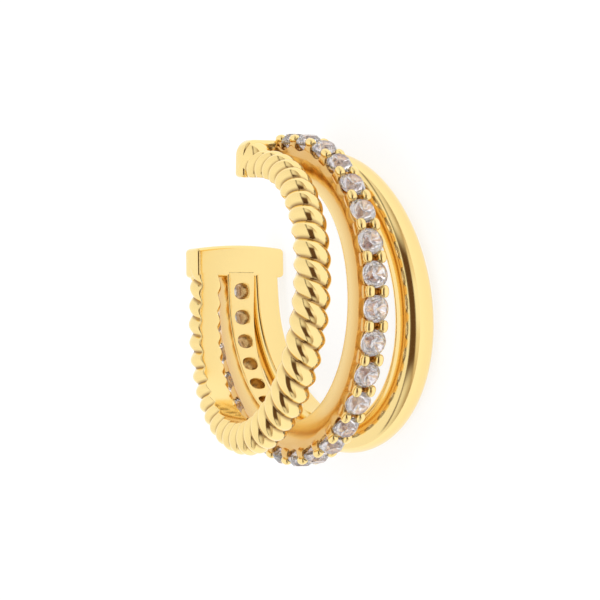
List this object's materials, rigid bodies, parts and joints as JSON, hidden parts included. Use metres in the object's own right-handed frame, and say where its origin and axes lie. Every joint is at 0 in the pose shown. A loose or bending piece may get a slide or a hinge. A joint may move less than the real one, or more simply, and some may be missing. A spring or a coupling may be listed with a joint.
{
  "type": "ear cuff",
  "caption": "C-shaped ear cuff of a rope band, a band of round prong-set stones and a plain band, joined by a solid bar at each end.",
  "frame": {"origin": "centre of the cuff's footprint on the surface that it lies on", "axes": "the middle of the C faces -Y and its opening faces +Y, the rope band is uppermost, and the ring's axis leans 6 degrees from +Z towards +Y, because the cuff lies on its plain band"},
  "size_m": [0.0128, 0.0124, 0.0063],
  "materials": {
    "gold": "polished yellow gold plate",
    "stone": "clear faceted stone"
  },
  "bodies": {
    "root": {"cuff_frame": "gold", "stone_01": "stone", "stone_02": "stone", "stone_03": "stone", "stone_04": "stone", "stone_05": "stone", "stone_06": "stone", "stone_07": "stone", "stone_08": "stone", "stone_09": "stone", "stone_10": "stone", "stone_11": "stone", "stone_12": "stone", "stone_13": "stone", "stone_14": "stone", "stone_15": "stone", "stone_16": "stone", "stone_17": "stone", "stone_18": "stone", "stone_19": "stone", "stone_20": "stone", "stone_21": "stone", "stone_22": "stone", "stone_23": "stone", "stone_24": "stone"}
  },
  "joints": []
}
